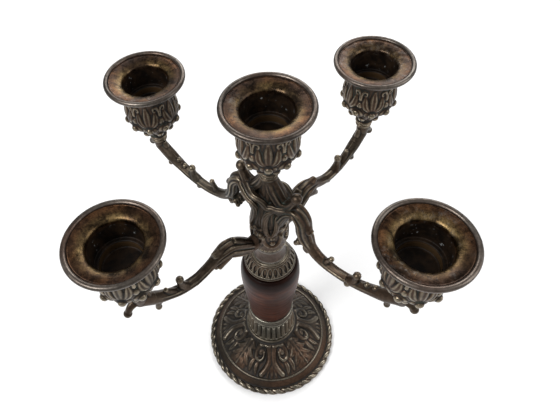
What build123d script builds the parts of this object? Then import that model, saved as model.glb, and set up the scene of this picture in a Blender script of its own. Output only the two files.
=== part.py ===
from build123d import *
import os

# Five-light candelabrum: a dished foot, a turned wooden column and two crossed cast branches.
# Millimetres. The origin is the centre of the felt's underside, +Z is up, and -Y is the front.

# Driving dimensions
foot_radius = 46.6           # outside of the rope edge
arm_reach = 79.0             # stem axis to the axis of an arm's candle cup
side_rim_height = 218.0      # lips of the four cups on the arms
centre_rim_height = 242.5    # lip of the cup on the centre post
lip_radius = 21.0            # outside of a cup's beaded lip
candle_bore_radius = 11.5    # takes a standard 22 mm candle
lower_branch_azimuth = 42.2  # plan angle of each branch
upper_branch_azimuth = 141.0
lower_arm_sweep = 3.4        # each arm is bent this far in plan from its branch's straight line
upper_arm_sweep = 1.4

# Heights of the stack along the stem
felt_thickness = 1.2
foot_edge_z = 0.6            # underside of the rope edge: the felt stands proud of it
foot_top_z = 27.0
foot_collar_top_z = 48.0
ferrule_top_z = 55.0
wood_top_z = 114.0
upper_collar_top_z = 126.2
neck_top_z = 137.0
bead_ring_top_z = 142.0
branch_split_z = 155.0       # lower branch below, upper branch above

# Tie rod, threaded studs and fits
rod_radius = 3.0
rod_bottom_z = 13.5
rod_top_z = 168.0
rod_hole_radius = 3.3        # clearance through the stacked pieces
stud_radius = 2.5
stud_depth_in_arm = 4.8      # six turns of an 0.8 mm pitch thread
stud_depth_in_cup = 6.0
running_gap = 0.05
end_gap = 0.2                # clearance past the end of a rod or a stud in its blind hole

# Candle cups, measured down from the lip's top
cup_height = 44.0
bead_radius = 1.3
pocket_radius = 12.4
pocket_depth = 20.8
liner_wall = 0.8
liner_bore_depth = 15.5
liner_throat_depth = 4.2
liner_step_radius = 9.5
liner_depth = 20.6
liner_radius = candle_bore_radius + liner_wall

# Ornament counts
collar_flutes = 32
ring_beads = 24

side_seat_z = side_rim_height - cup_height
centre_seat_z = centre_rim_height - cup_height

# Plan angles of the arms
lower_azimuths = (
    lower_branch_azimuth + lower_arm_sweep,
    lower_branch_azimuth - lower_arm_sweep + 180,
)
upper_azimuths = (
    upper_branch_azimuth + upper_arm_sweep,
    upper_branch_azimuth - upper_arm_sweep + 180,
)

# Candle places: plan radius, plan angle and height of the lip
places = {
    "rear_right": (arm_reach, lower_azimuths[0], side_rim_height),
    "front_left": (arm_reach, lower_azimuths[1], side_rim_height),
    "rear_left": (arm_reach, upper_azimuths[0], side_rim_height),
    "front_right": (arm_reach, upper_azimuths[1], side_rim_height),
    "center": (0, 0, centre_rim_height),
}


def outward(azimuth):
    """Unit vector from the stem axis towards an azimuth."""
    return Vector(1, 0, 0).rotate(Axis.Z, azimuth)


def upright_plane(azimuth):
    """Plane through the stem axis: local x runs outwards at the azimuth, local y is up."""
    return Plane(origin=(0, 0, 0), x_dir=outward(azimuth), z_dir=outward(azimuth - 90))


def cup_plane(place):
    """Upright plane through a cup's axis, with local y = 0 at the top of its lip."""
    reach, azimuth, rim_z = places[place]
    origin = outward(azimuth) * reach + Vector(0, 0, rim_z)
    return Plane(origin=origin, x_dir=(1, 0, 0), z_dir=(0, -1, 0))


def cup_axis(place):
    reach, azimuth, _ = places[place]
    return Axis(outward(azimuth) * reach, (0, 0, 1))


def turned(axis, plane, outline, mode=Mode.ADD):
    """Revolve a straight-sided outline of (radius, height) points."""
    with BuildSketch(plane) as profile:
        with BuildLine():
            Polyline(*outline, close=True)
        make_face()
    revolve(profile.sketch, axis=axis, mode=mode)


def bar(plane, points, radii):
    """Round bar along a spline in a plane, with the radii spaced evenly along it."""
    with BuildLine(plane) as path:
        Spline(*points)
    spine = path.line
    sections = []
    for step, radius in enumerate(radii):
        along = step / (len(radii) - 1)
        across = Plane(origin=spine @ along, x_dir=plane.z_dir, z_dir=spine % along)
        with BuildSketch(across) as section:
            Circle(radius)
        sections.append(section.sketch)
    loft(sections)


def ball(plane, point, radius):
    with Locations(plane.from_local_coords(Vector(*point, 0))):
        Sphere(radius)


def seat(azimuth):
    """Upright socket at an arm's end, on the cup's axis, with a low collar under the cup."""
    centre = outward(azimuth) * arm_reach
    with BuildSketch(Plane.XY.offset(side_seat_z - socket_length)) as foot_of_socket:
        with Locations((centre.X, centre.Y)):
            Circle(socket_radius)
    extrude(foot_of_socket.sketch, amount=socket_length)


def stud_hole(centre, seat_z):
    """Blind hole for a stud, down from a seat."""
    depth = stud_depth_in_arm + end_gap
    with BuildSketch(Plane.XY.offset(seat_z)) as mouth:
        with Locations((centre.X, centre.Y)):
            Circle(stud_radius + running_gap)
    extrude(mouth.sketch, amount=-depth, mode=Mode.SUBTRACT)


# Foot: a chased sheet dome inside a rope edge, hollow underneath
sheet = 1.4
rope_radius = 2.1
rope_ring_radius = foot_radius - rope_radius
band_radius = 42.5
band_z = 4.8
ridge_radius = 38.4
ridge_z = 8.6
foot_neck_radius = 15.6
foot_swell = (29.5, 14.0)    # points on the dome's flare
foot_waist = (21.0, 20.5)
lip_inner_radius = 37.0
ceiling_z = foot_top_z - 2.2
foot_lip_top_z = foot_edge_z + 2.6
felt_radius = 41.0
felt_recess_radius = 41.4

with BuildPart() as foot:
    with BuildSketch(Plane.XZ) as dome:
        with BuildLine():
            rim_rise = Polyline(
                (rod_hole_radius, foot_edge_z),
                (rope_ring_radius, foot_edge_z),
                (rope_ring_radius, band_z),
                (band_radius, band_z),
                (ridge_radius, ridge_z),
            )
            flare = Spline(rim_rise @ 1, foot_swell, foot_waist, (foot_neck_radius, foot_top_z))
            Polyline(flare @ 1, (rod_hole_radius, foot_top_z), (rod_hole_radius, foot_edge_z))
        make_face()
    revolve(axis=Axis.Z)
    with BuildSketch(Plane.XZ) as hollow:
        with BuildLine():
            inner_rise = Polyline(
                (0, foot_lip_top_z),
                (band_radius - sheet, foot_lip_top_z),
                (ridge_radius - 1.0, ridge_z - sheet),
            )
            inner_flare = Spline(
                inner_rise @ 1,
                (foot_swell[0] - 0.8, foot_swell[1] - sheet),
                (foot_waist[0] - 1.0, foot_waist[1] - sheet),
                (foot_neck_radius - sheet, ceiling_z),
            )
            Polyline(inner_flare @ 1, (0, ceiling_z), inner_rise @ 0)
        make_face()
    revolve(axis=Axis.Z, mode=Mode.SUBTRACT)
    with BuildSketch(Plane.XY.offset(foot_edge_z)):
        Circle(lip_inner_radius)
    extrude(amount=foot_lip_top_z, mode=Mode.SUBTRACT)
    with BuildSketch(Plane.XY.offset(foot_edge_z)):
        Circle(felt_recess_radius)
    extrude(amount=felt_thickness - foot_edge_z, mode=Mode.SUBTRACT)
    with BuildSketch(Plane.XZ) as rope:
        with Locations((rope_ring_radius, foot_edge_z + rope_radius)):
            Circle(rope_radius)
    revolve(axis=Axis.Z)
foot.part.label = "foot"

# Felt glued under the foot's inturned lip
with BuildPart() as felt_disc:
    Cylinder(felt_radius, felt_thickness, align=(Align.CENTER, Align.CENTER, Align.MIN))
felt_disc.part.label = "felt_disc"

# Dished washer and nut that pull the stack together from inside the foot
washer_thickness = 1.6
washer_radius = 12.0
nut_height = 5.0
nut_across_flats = 10.0

with BuildPart() as spreader_washer:
    with BuildSketch(Plane.XY.offset(ceiling_z - washer_thickness)):
        Circle(washer_radius)
        Circle(rod_hole_radius, mode=Mode.SUBTRACT)
    extrude(amount=washer_thickness)
    chamfer(spreader_washer.edges().group_by(Axis.Z)[0].sort_by(SortBy.LENGTH)[-1], 0.8)
spreader_washer.part.label = "spreader_washer"

with BuildPart() as rod_nut:
    with BuildSketch(Plane.XY.offset(ceiling_z - washer_thickness - nut_height)):
        RegularPolygon(nut_across_flats / 2, 6, major_radius=False)
        Circle(rod_radius, mode=Mode.SUBTRACT)
    extrude(amount=nut_height)
rod_nut.part.label = "rod_nut"

with BuildPart() as tie_rod:
    with BuildSketch(Plane.XY.offset(rod_bottom_z)):
        Circle(rod_radius)
    extrude(amount=rod_top_z - rod_bottom_z)
    chamfer(tie_rod.edges().filter_by(GeomType.CIRCLE), 0.5)
tie_rod.part.label = "tie_rod"

# Fluted collar: a sheet tube with a closed top
collar_foot_radius = 15.5
collar_top_radius = 14.9
collar_wall = 2.2
flute_radius = 0.9
flute_end_gap = 2.0

with BuildPart() as foot_collar:
    turned(Axis.Z, Plane.XZ, [
        (rod_hole_radius, foot_top_z),
        (collar_foot_radius, foot_top_z),
        (collar_top_radius, foot_collar_top_z),
        (rod_hole_radius, foot_collar_top_z),
    ])
    turned(Axis.Z, Plane.XZ, [
        (0, foot_top_z),
        (collar_foot_radius - collar_wall, foot_top_z),
        (collar_top_radius - collar_wall, foot_collar_top_z - sheet),
        (0, foot_collar_top_z - sheet),
    ], Mode.SUBTRACT)
    with BuildSketch(Plane.XY.offset(foot_top_z + flute_end_gap)):
        with PolarLocations(collar_foot_radius + 0.4, collar_flutes):
            Circle(flute_radius)
    extrude(amount=foot_collar_top_z - foot_top_z - 2 * flute_end_gap, mode=Mode.SUBTRACT)
foot_collar.part.label = "foot_collar"

# Plain ferrule, recessed to hold the wood's spigot
spigot_radius = 12.0
spigot_length = 4.0
wood_foot_radius = 14.5

with BuildPart() as lower_ferrule:
    turned(Axis.Z, Plane.XZ, [
        (rod_hole_radius, foot_collar_top_z),
        (collar_top_radius + 0.3, foot_collar_top_z),
        (collar_top_radius + 0.3, foot_collar_top_z + 2.0),
        (wood_foot_radius + 0.4, ferrule_top_z),
        (spigot_radius, ferrule_top_z),
        (spigot_radius, ferrule_top_z - spigot_length),
        (rod_hole_radius, ferrule_top_z - spigot_length),
    ])
lower_ferrule.part.label = "lower_ferrule"

# Turned wooden column, bored for the tie rod
shoulder_radius = 18.3
shoulder_z = 102.0
wood_top_radius = 15.9

with BuildPart() as wood_column:
    with BuildSketch(Plane.XZ):
        with BuildLine():
            heel = Polyline(
                (rod_hole_radius, ferrule_top_z - spigot_length),
                (spigot_radius, ferrule_top_z - spigot_length),
                (spigot_radius, ferrule_top_z),
                (wood_foot_radius, ferrule_top_z),
            )
            side = Spline(
                heel @ 1,
                (16.6, 80.0),
                (shoulder_radius, shoulder_z),
                (wood_top_radius, wood_top_z),
            )
            Polyline(side @ 1, (rod_hole_radius, wood_top_z), heel @ 0)
        make_face()
    revolve(axis=Axis.Z)
wood_column.part.label = "wood_column"

# Cap over the wood: a recessed throat, a rim and a sloping face
cap_rim_radius = 15.4
cap_rim_z = 116.0
cap_top_radius = 10.4

with BuildPart() as upper_collar:
    turned(Axis.Z, Plane.XZ, [
        (rod_hole_radius, wood_top_z),
        (cap_rim_radius - 1.8, wood_top_z),
        (cap_rim_radius - 1.8, cap_rim_z - 1.0),
        (cap_rim_radius, cap_rim_z - 0.4),
        (cap_rim_radius, cap_rim_z + 1.0),
        (cap_rim_radius - 0.8, cap_rim_z + 1.6),
        (cap_top_radius + 0.8, upper_collar_top_z - 1.8),
        (cap_top_radius, upper_collar_top_z),
        (rod_hole_radius, upper_collar_top_z),
    ])
    turned(Axis.Z, Plane.XZ, [
        (0, wood_top_z),
        (cap_rim_radius - 3.4, wood_top_z),
        (cap_rim_radius - 3.4, cap_rim_z),
        (cap_top_radius - 2.6, upper_collar_top_z - 2.4),
        (0, upper_collar_top_z - 2.4),
    ], Mode.SUBTRACT)
upper_collar.part.label = "upper_collar"

# Plain neck sleeve, waisted
with BuildPart() as neck_sleeve:
    with BuildSketch(Plane.XZ):
        with BuildLine():
            foot_line = Line((7.0, upper_collar_top_z), (9.9, upper_collar_top_z))
            waist = ThreePointArc(foot_line @ 1, (8.8, 130.5), (8.7, neck_top_z))
            Polyline(waist @ 1, (7.0, neck_top_z), foot_line @ 0)
        make_face()
    revolve(axis=Axis.Z)
neck_sleeve.part.label = "neck_sleeve"

# Beaded ring under the branches
bead_circle_radius = 8.2
small_bead_radius = 1.15

with BuildPart() as bead_ring:
    with BuildSketch(Plane.XY.offset(neck_top_z)):
        Circle(bead_circle_radius)
        Circle(rod_hole_radius, mode=Mode.SUBTRACT)
    extrude(amount=bead_ring_top_z - neck_top_z)
    with Locations(Plane.XY.offset((neck_top_z + bead_ring_top_z) / 2)):
        with PolarLocations(bead_circle_radius, ring_beads):
            Sphere(small_bead_radius)
bead_ring.part.label = "bead_ring"

# Lower branch: a drum hub and two arms, each with an upright socket under its cup, a tail that
# ends in a ball, and twigs that end in balls
socket_radius = 3.9
socket_length = 8.0
tail_ball_radius = 2.1
twig_ball_radius = 2.0
hub_radius = 10.4
hub_bottom_z = bead_ring_top_z + running_gap
clearing_depth = 5.0         # the stack above and below the lower hub is cut clear of its arms

with BuildPart() as lower_branch:
    turned(Axis.Z, Plane.XZ, [
        (0, hub_bottom_z),
        (hub_radius - 1.2, hub_bottom_z),
        (hub_radius, hub_bottom_z + 4),
        (hub_radius, branch_split_z - 2),
        (hub_radius - 0.8, branch_split_z),
        (0, branch_split_z),
    ])
    for azimuth in lower_azimuths:
        arm = upright_plane(azimuth)
        bar(arm, [(6, 147), (14.5, 146), (20.6, 151.5), (27, 156.8), (33, 157.2), (42, 151.6),
                  (50, 148.9), (60.5, 150.4), (70, 156.6), (arm_reach, 165.5)],
            [4.6, 4.2, 4.3, 4.2, 3.4, 2.9, 2.7, 2.7, 2.9, 3.3])
        seat(azimuth)
        bar(arm, [(arm_reach, 166), (83.6, 165.2), (86.2, 161.8)], [2.8, 2.0, 1.6])
        ball(arm, (86.7, 160.7), tail_ball_radius)
        bar(arm, [(55.6, 149.4), (57.8, 153.5), (57.6, 158)], [2.0, 1.6, 1.3])
        ball(arm, (57.6, 159.3), twig_ball_radius)
        bar(arm, [(70, 156), (71.6, 152), (72, 149.4)], [2.2, 1.7, 1.4])
        ball(arm, (72, 148.2), twig_ball_radius)
    for level, depth in ((hub_bottom_z, -clearing_depth), (branch_split_z, clearing_depth)):
        with BuildSketch(Plane.XY.offset(level)):
            Circle(hub_radius)
        extrude(amount=depth, mode=Mode.SUBTRACT)
    with BuildSketch(Plane.XY.offset(hub_bottom_z)):
        Circle(rod_radius + running_gap)
    extrude(amount=branch_split_z - hub_bottom_z, mode=Mode.SUBTRACT)
    for azimuth in lower_azimuths:
        stud_hole(outward(azimuth) * arm_reach, side_seat_z)
lower_branch.part.label = "lower_branch"

# Upper branch: arms that arch over the first branch, two scroll brackets and the centre post
post_radius = 4.1

with BuildPart() as upper_branch:
    turned(Axis.Z, Plane.XZ, [
        (0, branch_split_z + running_gap),
        (hub_radius - 0.8, branch_split_z + running_gap),
        (hub_radius - 0.2, branch_split_z + 3),
        (9.4, 165),
        (7.4, 173),
        (5.4, 183),
        (post_radius, 192),
        (post_radius, centre_seat_z - 1.6),
        (post_radius + 0.6, centre_seat_z - 0.8),
        (post_radius + 0.6, centre_seat_z),
        (0, centre_seat_z),
    ])
    for azimuth in upper_azimuths:
        arm = upright_plane(azimuth)
        bar(arm, [(6, 161), (8.5, 168), (12.5, 177), (17.5, 181), (21.5, 177), (23, 169),
                  (27, 160), (34, 154), (44, 151.6), (56, 153.6), (68, 159.4), (arm_reach, 168)],
            [3.4, 3.4, 3.1, 3.1, 3.0, 3.4, 3.5, 3.0, 2.8, 2.7, 2.8, 3.3])
        seat(azimuth)
        bar(arm, [(arm_reach, 168), (83.2, 168.4), (85.4, 166.4)], [2.8, 2.0, 1.7])
        ball(arm, (85.7, 165.8), tail_ball_radius)
        bar(arm, [(4, 185), (9, 180.5), (13.5, 182), (16.9, 189)], [3.6, 3.2, 2.6, 2.0])
        ball(arm, (17.2, 191.3), 2.8)
        bar(arm, [(42.5, 152), (40.8, 155.6), (40.2, 159.4)], [2.2, 1.7, 1.3])
        ball(arm, (40.2, 160.5), twig_ball_radius)
        bar(arm, [(53.6, 153), (55.8, 156.6), (55.5, 160.2)], [2.0, 1.6, 1.3])
        ball(arm, (55.5, 161.4), twig_ball_radius)
        bar(arm, [(71.4, 161.4), (73.2, 157.8), (73.5, 155.2)], [2.2, 1.7, 1.4])
        ball(arm, (73.5, 154.1), twig_ball_radius)
    with BuildSketch(Plane.XY.offset(branch_split_z)):
        Circle(rod_radius + running_gap)
    extrude(amount=rod_top_z + end_gap - branch_split_z, mode=Mode.SUBTRACT)
    for azimuth in upper_azimuths:
        stud_hole(outward(azimuth) * arm_reach, side_seat_z)
    stud_hole(Vector(0, 0, 0), centre_seat_z)
upper_branch.part.label = "upper_branch"

pieces = [
    foot, felt_disc, spreader_washer, rod_nut, tie_rod, foot_collar, lower_ferrule, wood_column,
    upper_collar, neck_sleeve, bead_ring, lower_branch, upper_branch,
]

for place in places:
    face = cup_plane(place)
    axis = cup_axis(place)
    seat_y = -cup_height

    # Cup: a beaded lip, a waisted body over a bowl of petals, and a neck with a small knop
    with BuildPart() as cup:
        with BuildSketch(face):
            with BuildLine():
                lip = Polyline((0, -4.0), (12.6, -4.0), (18.4, -1.9), (19.7, -1.9), (19.7, -2.6))
                cove = ThreePointArc(lip @ 1, (15.2, -4.6), (13.2, -9.4))
                bowl = Spline(cove @ 1, (13.4, -16), (13.7, -23.5), (9.4, -32), (4.4, -38.5))
                neck = Polyline(
                    bowl @ 1,
                    (3.7, -40.8),
                    (4.7, -42.0),
                    (4.7, -43.0),
                    (3.9, seat_y),
                    (0, seat_y),
                    (0, -4.0),
                )
            make_face()
        revolve(axis=axis)
        with BuildSketch(face):
            with Locations((lip_radius - bead_radius, -bead_radius)):
                Circle(bead_radius)
        revolve(axis=axis)
        turned(axis, face, [
            (0, 0),
            (pocket_radius, 0),
            (pocket_radius, -pocket_depth),
            (0, -pocket_depth),
        ], Mode.SUBTRACT)
        turned(axis, face, [
            (0, seat_y),
            (stud_radius + running_gap, seat_y),
            (stud_radius + running_gap, seat_y + stud_depth_in_cup + end_gap),
            (0, seat_y + stud_depth_in_cup + end_gap),
        ], Mode.SUBTRACT)
    cup.part.label = "cup_" + place

    # Liner: a shallow trumpet funnel, the candle's bore, a step ring and a closed end
    with BuildPart() as liner:
        with BuildSketch(face):
            with BuildLine():
                funnel = Spline((18.3, -0.9), (14.2, -1.7), (candle_bore_radius, -liner_throat_depth))
                bore = Polyline(
                    funnel @ 1,
                    (candle_bore_radius, -liner_bore_depth),
                    (liner_step_radius, -liner_bore_depth),
                    (liner_step_radius, liner_wall - liner_depth),
                    (0, liner_wall - liner_depth),
                    (0, -liner_depth),
                    (liner_radius, -liner_depth),
                    (liner_radius, -4.0),
                    (18.3, -1.7),
                    funnel @ 0,
                )
            make_face()
        revolve(axis=axis)
    liner.part.label = "liner_" + place

    # Stud: screwed tight into the cup and turned into the branch's seat
    reach, azimuth, rim_z = places[place]
    with BuildPart() as stud:
        centre = outward(azimuth) * reach
        with BuildSketch(Plane.XY.offset(rim_z - cup_height - stud_depth_in_arm)):
            with Locations((centre.X, centre.Y)):
                Circle(stud_radius)
        extrude(amount=stud_depth_in_arm + stud_depth_in_cup)
    stud.part.label = "stud_" + place

    pieces += [cup, liner, stud]

os.makedirs("parts", exist_ok=True)
for piece in pieces:
    export_step(piece.part, "parts/" + piece.part.label + ".step")
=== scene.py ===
import math

import bpy
import numpy as np
from mathutils import Matrix, Vector


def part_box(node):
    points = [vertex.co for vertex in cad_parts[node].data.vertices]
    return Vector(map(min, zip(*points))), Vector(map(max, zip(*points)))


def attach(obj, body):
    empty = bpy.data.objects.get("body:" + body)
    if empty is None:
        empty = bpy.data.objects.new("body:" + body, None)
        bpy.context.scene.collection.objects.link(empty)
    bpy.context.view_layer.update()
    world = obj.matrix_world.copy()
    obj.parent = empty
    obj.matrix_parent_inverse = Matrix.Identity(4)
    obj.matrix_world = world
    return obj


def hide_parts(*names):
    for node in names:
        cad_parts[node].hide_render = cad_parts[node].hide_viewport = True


# Five-light candelabrum. Shapes below are in millimetres in the CAD frame and are scaled to metres
# as each mesh is made. The stem runs up +Z, and the front is -Y.
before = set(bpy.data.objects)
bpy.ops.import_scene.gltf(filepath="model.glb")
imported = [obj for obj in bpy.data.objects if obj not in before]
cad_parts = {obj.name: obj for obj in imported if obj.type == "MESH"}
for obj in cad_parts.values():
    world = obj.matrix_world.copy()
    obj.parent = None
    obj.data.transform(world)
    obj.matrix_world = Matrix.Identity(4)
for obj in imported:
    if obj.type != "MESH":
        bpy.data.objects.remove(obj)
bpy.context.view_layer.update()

MM = 0.001
STAND = "stand"
TURN = 2 * math.pi

# Size of a cup, and the five places that have one
CUP_HEIGHT = 44.0
LIP_RADIUS = 21.0
PLACES = ("front_left", "rear_right", "front_right", "rear_left", "center")


def place_of(place):
    """Plan position of a cup's axis and the height of its lip, in millimetres, from the frame."""
    low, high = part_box("cup_" + place)
    return (low.x + high.x) / 2 / MM, (low.y + high.y) / 2 / MM, high.z / MM


def azimuth_of(place):
    x, y, _ = place_of(place)
    return math.atan2(y, x)


# ---- mesh building


def curve(points, step):
    """Smooth curve through the points (any number of coordinates), at about one point per step."""
    points = np.asarray(points, float)
    padded = np.vstack([2 * points[0] - points[1], points, 2 * points[-1] - points[-2]])
    out = []
    for i in range(1, len(padded) - 2):
        p0, p1, p2, p3 = padded[i - 1:i + 3]
        count = max(2, int(np.linalg.norm((p2 - p1)[:2]) / step) + 1)
        t = np.linspace(0, 1, count, endpoint=False)[:, None]
        out.append(0.5 * (2 * p1 + (p2 - p0) * t + (2 * p0 - 5 * p1 + 4 * p2 - p3) * t ** 2
                          + (3 * p1 - p0 - 3 * p2 + p3) * t ** 3))
    out.append(points[-1:])
    return np.vstack(out)


def straight(points, step):
    """Straight-sided line through the points, at about one point per step."""
    points = np.asarray(points, float)
    out = []
    for a, b in zip(points[:-1], points[1:]):
        count = max(1, int(np.linalg.norm(b - a) / step))
        t = np.linspace(0, 1, count, endpoint=False)[:, None]
        out.append(a + (b - a) * t)
    out.append(points[-1:])
    return np.vstack(out)


def arc(centre, radius, start, end, step):
    """Arc in the profile plane between two angles in degrees."""
    sweep = math.radians(end - start)
    count = max(4, int(abs(sweep) * radius / step))
    angles = math.radians(start) + np.linspace(0, 1, count) * sweep
    return np.c_[centre[0] + radius * np.cos(angles), centre[1] + radius * np.sin(angles)]


def joined(*runs):
    """Joins runs of profile points and drops the repeated ones."""
    points = np.vstack(runs)
    keep = np.r_[True, np.linalg.norm(np.diff(points, axis=0), axis=1) > 1e-4]
    return points[keep]


def add_object(name, data):
    added = bpy.data.objects.new(name, data)
    bpy.context.scene.collection.objects.link(added)
    return added


def make_piece(name, verts, faces):
    mesh = bpy.data.meshes.new(name)
    mesh.from_pydata((np.asarray(verts) * MM).tolist(), [], faces)
    mesh.validate()
    piece = add_object(name, mesh)
    mesh.polygons.foreach_set("use_smooth", np.ones(len(mesh.polygons), bool))
    return piece


def lathe(profile, segments, relief=None, closed=False):
    """Revolves a (radius, height) profile, drawn with its outside on the right of its travel.

    relief(theta, profile) gives how far each (row, column) point is pushed out. An open profile
    starts and ends on the axis, and a closed one joins up into a ring.
    """
    ahead = np.roll(profile, -1, axis=0) - np.roll(profile, 1, axis=0)
    if not closed:
        ahead[0] = profile[1] - profile[0]
        ahead[-1] = profile[-1] - profile[-2]
    ahead /= np.maximum(np.linalg.norm(ahead, axis=1)[:, None], 1e-9)
    out = np.c_[ahead[:, 1], -ahead[:, 0]]
    theta = np.linspace(0, TURN, segments, endpoint=False)
    push = relief(theta, profile) if relief else np.zeros((len(profile), segments))
    radius = profile[:, :1] + out[:, :1] * push
    height = profile[:, 1:] + out[:, 1:] * push
    verts = np.stack([radius * np.cos(theta), radius * np.sin(theta), height], axis=-1)
    rows = len(profile)
    index = np.arange(rows * segments).reshape(rows, segments)
    beside = np.roll(index, -1, axis=1)
    if closed:
        above, above_beside = np.roll(index, -1, axis=0), np.roll(beside, -1, axis=0)
        quads = np.stack([index, beside, above_beside, above], axis=-1).reshape(-1, 4)
        return verts.reshape(-1, 3), quads.tolist()
    quads = np.stack([index[:-1], beside[:-1], beside[1:], index[1:]], axis=-1)
    faces = quads[1:-1].reshape(-1, 4).tolist()
    faces += [(int(i), int(b), int(t)) for i, b, t in zip([0] * segments, beside[1], index[1])]
    last = rows * segments - 1
    faces += [(int(i), int(b), last) for i, b in zip(index[-2], beside[-2])]
    flat = verts.reshape(-1, 3)
    flat[0] = (0, 0, profile[0, 1])
    flat[last] = (0, 0, profile[-1, 1])
    kept = (quads[1:-1], [0, last], index[1], index[-2])
    used = np.unique(np.concatenate([np.ravel(part) for part in kept]))
    renumber = np.zeros(len(flat), int)
    renumber[used] = np.arange(len(used))
    return flat[used], [tuple(int(renumber[i]) for i in face) for face in faces]


def outside(outer, relief, head=0):
    """Relief for lathe that shapes only the outer run of a profile, which starts at row head."""
    def push(theta, profile):
        whole = np.zeros((len(profile), len(theta)))
        whole[head:head + len(outer)] = relief(theta, outer[:, :1], outer[:, 1:])
        return whole
    return push


def smooth_step(value, low, high):
    t = np.clip((value - low) / (high - low), 0, 1)
    return t * t * (3 - 2 * t)


def window(value, low, high, soft):
    """1 between low and high, and 0 outside, with soft ends."""
    return smooth_step(value, low, low + soft) * (1 - smooth_step(value, high - soft, high))


def stroke_height(x, y, points, width, height, shape="stem"):
    """Height of one chased stroke at each (x, y). A leaf swells and narrows along its length."""
    line = curve(points, 0.5)
    a, b = line[:-1], line[1:]
    span = b - a
    length = np.linalg.norm(span, axis=1)
    along = np.r_[0, np.cumsum(length)] / length.sum()
    best = np.full(x.shape, 1e9)
    where = np.zeros(x.shape)
    for i in range(len(a)):
        t = ((x - a[i, 0]) * span[i, 0] + (y - a[i, 1]) * span[i, 1]) / max(length[i] ** 2, 1e-9)
        t = np.clip(t, 0, 1)
        gap = np.hypot(x - a[i, 0] - t * span[i, 0], y - a[i, 1] - t * span[i, 1])
        nearer = gap < best
        best = np.where(nearer, gap, best)
        where = np.where(nearer, along[i] + t * (along[i + 1] - along[i]), where)
    if shape == "leaf":
        local = width * (0.35 + 0.65 * np.sin(math.pi * np.clip(where, 0, 1) ** 0.85))
    elif shape == "taper":
        local = width * (1 - 0.55 * where)
    else:
        local = width * np.ones_like(where)
    inside = np.clip(1 - (best / local) ** 2, 0, None)
    rise = height * (local / width) ** 0.5 * inside ** 0.6
    if shape == "leaf":
        rise -= 0.26 * height * np.exp(-(best / (0.24 * width)) ** 2) * (inside > 0)
    return rise


def chased(x, y, strokes):
    """Highest stroke at each point."""
    total = np.zeros(x.shape)
    for points, width, height, shape in strokes:
        total = np.maximum(total, stroke_height(x, y, points, width, height, shape))
    return total


def worn(push, rounds):
    """Relief softened by rubbing: each round blends a point with its neighbours round and along."""
    for _ in range(rounds):
        push = 0.5 * push + 0.25 * (np.roll(push, 1, axis=1) + np.roll(push, -1, axis=1))
        push[1:-1] = 0.5 * push[1:-1] + 0.25 * (push[:-2] + push[2:])
    return push


def folded(theta, repeats, start):
    """Angle from the nearest motif axis, for a motif that repeats and mirrors round the axis."""
    period = TURN / repeats
    offset = np.mod(theta - start, period)
    return np.minimum(offset, period - offset)


class Casting:
    """Closed overlapping shapes that are fused into one casting."""

    def __init__(self):
        self.verts, self.faces, self.count = [], [], 0

    def add(self, verts, faces):
        self.verts.append(np.asarray(verts, float))
        self.faces += [tuple(i + self.count for i in face) for face in faces]
        self.count += len(verts)

    def rod(self, line, radii, across, section=None, around=28, flat=1.0):
        """Rod along a 3-D line. across is the direction that stays sideways; flat widens it that way.

        across is one direction, or one for each point. section(angle, along) scales the radius.
        Its angle 0 points across, and a quarter turn is its top.
        """
        line = np.asarray(line, float)
        radii = np.asarray(radii, float)
        ahead = np.gradient(line, axis=0)
        ahead /= np.linalg.norm(ahead, axis=1)[:, None]
        across = np.broadcast_to(np.asarray(across, float), line.shape)
        side = across - (ahead * across).sum(axis=1)[:, None] * ahead
        side /= np.linalg.norm(side, axis=1)[:, None]
        outer = np.cross(ahead, side)
        angle = np.linspace(0, TURN, around, endpoint=False)
        along = np.linspace(0, 1, len(line))
        scale = section(angle[None, :], along[:, None]) if section else np.ones((len(line), around))
        reach = radii[:, None] * scale
        verts = (line[:, None, :]
                 + side[:, None, :] * (flat * reach * np.cos(angle))[..., None]
                 + outer[:, None, :] * (reach * np.sin(angle))[..., None])
        rows = len(line)
        index = np.arange(rows * around).reshape(rows, around)
        beside = np.roll(index, -1, axis=1)
        faces = np.stack([index[:-1], beside[:-1], beside[1:], index[1:]], axis=-1).reshape(-1, 4)
        flat_verts = np.vstack([verts.reshape(-1, 3), line[:1], line[-1:]])
        first, last = rows * around, rows * around + 1
        caps = [(first, int(b), int(i)) for i, b in zip(index[0], beside[0])]
        caps += [(last, int(i), int(b)) for i, b in zip(index[-1], beside[-1])]
        self.add(flat_verts, faces.tolist() + caps)

    def ball(self, centre, radius):
        grid = arc((0, 0), radius, -90, 90, radius / 5)
        grid[0, 0] = grid[-1, 0] = 0
        verts, faces = lathe(grid, 20)
        self.add(verts + np.asarray(centre, float), faces)

    def fuse(self, name, voxel, rounds=2):
        """One skin round everything, lightly smoothed."""
        raw = make_piece(name + "_raw", np.vstack(self.verts), self.faces)
        remesh = raw.modifiers.new("skin", "REMESH")
        remesh.mode = "VOXEL"
        remesh.voxel_size = voxel * MM
        bpy.context.view_layer.update()
        graph = bpy.context.evaluated_depsgraph_get()
        skin = bpy.data.meshes.new_from_object(raw.evaluated_get(graph))
        piece = add_object(name, skin)
        bpy.data.objects.remove(raw)
        skin.polygons.foreach_set("use_smooth", np.ones(len(skin.polygons), bool))
        co, edges = mesh_arrays(skin)
        for _ in range(rounds):
            co += 0.5 * (neighbour_mean(co, edges) - co)
        skin.vertices.foreach_set("co", co.ravel())
        skin.update()
        return piece


def mesh_arrays(mesh):
    co = np.zeros(len(mesh.vertices) * 3)
    mesh.vertices.foreach_get("co", co)
    edges = np.zeros(len(mesh.edges) * 2, np.int32)
    mesh.edges.foreach_get("vertices", edges)
    return co.reshape(-1, 3), edges.reshape(-1, 2)


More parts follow.
